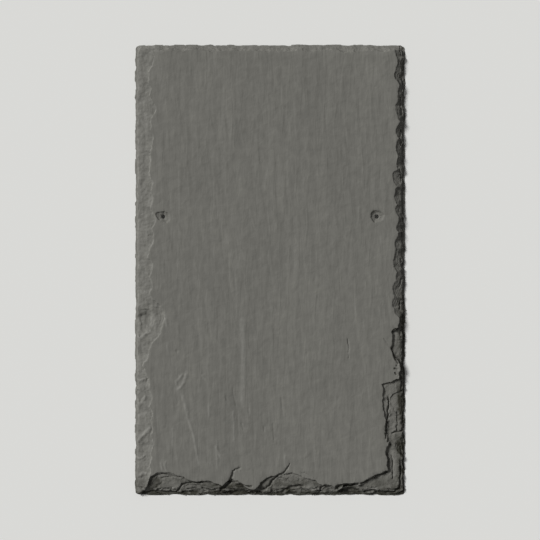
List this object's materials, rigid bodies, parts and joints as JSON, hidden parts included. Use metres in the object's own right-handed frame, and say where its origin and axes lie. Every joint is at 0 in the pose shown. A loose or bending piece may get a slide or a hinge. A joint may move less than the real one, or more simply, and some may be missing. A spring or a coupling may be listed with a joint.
{
  "type": "slate roof tile",
  "caption": "Rectangular riven slate roof tile with chipped, flaked edges and two punched nail holes under the lap.",
  "frame": {"origin": "middle of the bed, the flat underside that lies on the roof", "axes": "+X across the tile, +Y from the exposed tail up to the head, +Z out of the dressed face"},
  "size_m": [0.3, 0.5, 0.009],
  "materials": {
    "slate": "matte, riven along the cleavage"
  },
  "bodies": {
    "root": {"slate_tile": "slate"}
  },
  "joints": []
}
